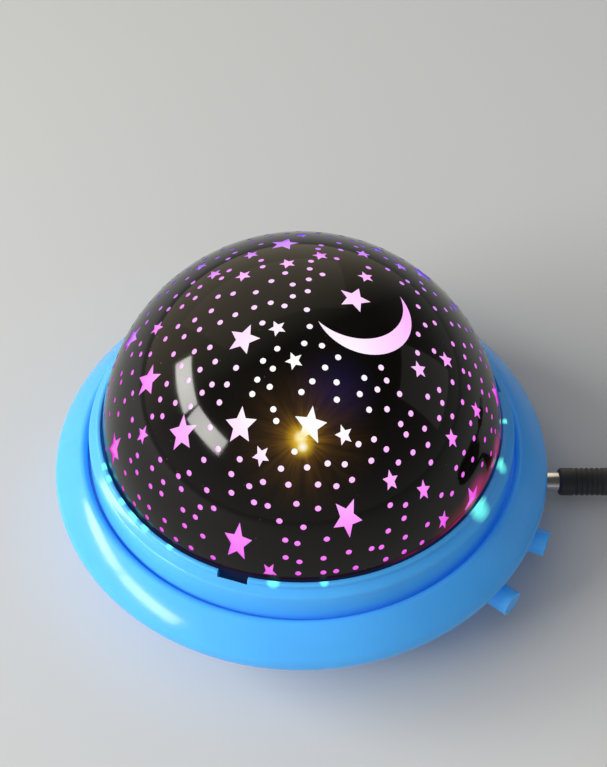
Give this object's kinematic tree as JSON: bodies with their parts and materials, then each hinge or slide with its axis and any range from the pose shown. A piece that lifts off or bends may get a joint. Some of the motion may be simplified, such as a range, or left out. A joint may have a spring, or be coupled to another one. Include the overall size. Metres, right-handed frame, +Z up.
{
  "type": "star night light projector",
  "caption": "Round night light: a printed star dome turned by a geared motor on a rounded base, with two push buttons, a battery bay and a plug-in lead.",
  "frame": {"origin": "bottom centre of the base, on the plane of the rubber feet", "axes": "+Z up along the dome's axis of rotation, +X out of the power socket"},
  "size_m": [0.2495, 0.1384, 0.086],
  "materials": {
    "base_blue": "glossy sky-blue moulded plastic",
    "white_plastic": "satin white moulded plastic",
    "clear_dome": "clear polished plastic",
    "black_skin": "mirror-glossy black skin",
    "steel": "plain bright steel",
    "circuit_board": "green circuit board lacquer",
    "lamp_white": "clear lens, warm white",
    "lamp_blue": "clear lens, blue",
    "lamp_red": "clear lens, red",
    "lamp_green": "clear lens, green",
    "black_plastic": "black moulded plastic",
    "black_rubber": "matt black rubber"
  },
  "bodies": {
    "base": {"upper_housing": "base_blue", "lower_housing": "base_blue", "deck": "white_plastic", "gear_motor": "steel", "motor_screws": "steel", "roller_pins": "steel", "led_board": "circuit_board", "led_white": "lamp_white", "led_blue": "lamp_blue", "led_red": "lamp_red", "led_green": "lamp_green", "main_board": "circuit_board", "board_screws": "steel", "power_switch": "black_plastic", "spin_switch": "black_plastic", "battery_springs": "steel", "battery_plates": "steel", "dc_socket": "black_plastic", "housing_screws": "steel", "deck_screws": "steel", "rubber_feet": "black_rubber", "plug_barrel": "steel", "plug_grip": "black_plastic", "usb_lead": "black_rubber", "lead_coil": "black_rubber", "coil_tie": "black_plastic", "lead_tail": "black_rubber", "usb_grip": "black_plastic", "usb_shell": "steel"},
    "turntable": {"turntable": "base_blue"},
    "dome": {"dome": "clear_dome", "star_skin": "black_skin"},
    "pinion": {"pinion": "white_plastic", "motor_shaft": "steel"},
    "roller_1": {"roller_1": "white_plastic"},
    "roller_2": {"roller_2": "white_plastic"},
    "roller_3": {"roller_3": "white_plastic"},
    "power_key": {"power_button": "base_blue", "power_plunger": "white_plastic"},
    "spin_key": {"spin_button": "base_blue", "spin_plunger": "white_plastic"},
    "battery_cover": {"battery_cover": "base_blue"}
  },
  "joints": [
    {"name": "turntable_spin", "type": "hinge", "parent": "base", "child": "turntable", "pos_m": [0, 0, 0.0327], "axis": [0, 0, 1], "continuous": true},
    {"name": "dome_twist", "type": "hinge", "parent": "turntable", "child": "dome", "pos_m": [0, 0, 0.033], "axis": [0, 0, 1], "range_deg": [0, 22]},
    {"name": "pinion_spin", "type": "hinge", "parent": "base", "child": "pinion", "pos_m": [0, 0.0385, 0.027], "axis": [0, 0, 1], "continuous": true},
    {"name": "roller_1_spin", "type": "hinge", "parent": "base", "child": "roller_1", "pos_m": [0.0459, 0.0265, 0.0272], "axis": [0.866, 0.5, 0], "continuous": true},
    {"name": "roller_2_spin", "type": "hinge", "parent": "base", "child": "roller_2", "pos_m": [-0.0459, 0.0265, 0.0272], "axis": [-0.866, 0.5, 0], "continuous": true},
    {"name": "roller_3_spin", "type": "hinge", "parent": "base", "child": "roller_3", "pos_m": [0, -0.053, 0.0272], "axis": [0, -1, 0], "continuous": true},
    {"name": "power_button_press", "type": "slide", "parent": "base", "child": "power_key", "axis": [-0.9311, 0.3649, 0], "range_m": [0, 0.0008], "stiffness_N_per_m": 800, "springref_m": -0.0005},
    {"name": "spin_button_press", "type": "slide", "parent": "base", "child": "spin_key", "axis": [-0.7749, 0.632, 0], "range_m": [0, 0.0008], "stiffness_N_per_m": 800, "springref_m": -0.0005},
    {"name": "battery_cover_hinge", "type": "hinge", "parent": "base", "child": "battery_cover", "pos_m": [0, 0.0246, 0.0022], "axis": [1, 0, 0], "range_deg": [0, 95]}
  ],
  "couplings": [
    {"joint": "pinion_spin", "follows": "turntable_spin", "ratio": 6.5},
    {"joint": "roller_1_spin", "follows": "turntable_spin", "ratio": -15.143},
    {"joint": "roller_2_spin", "follows": "turntable_spin", "ratio": -15.143},
    {"joint": "roller_3_spin", "follows": "turntable_spin", "ratio": -15.143}
  ]
}
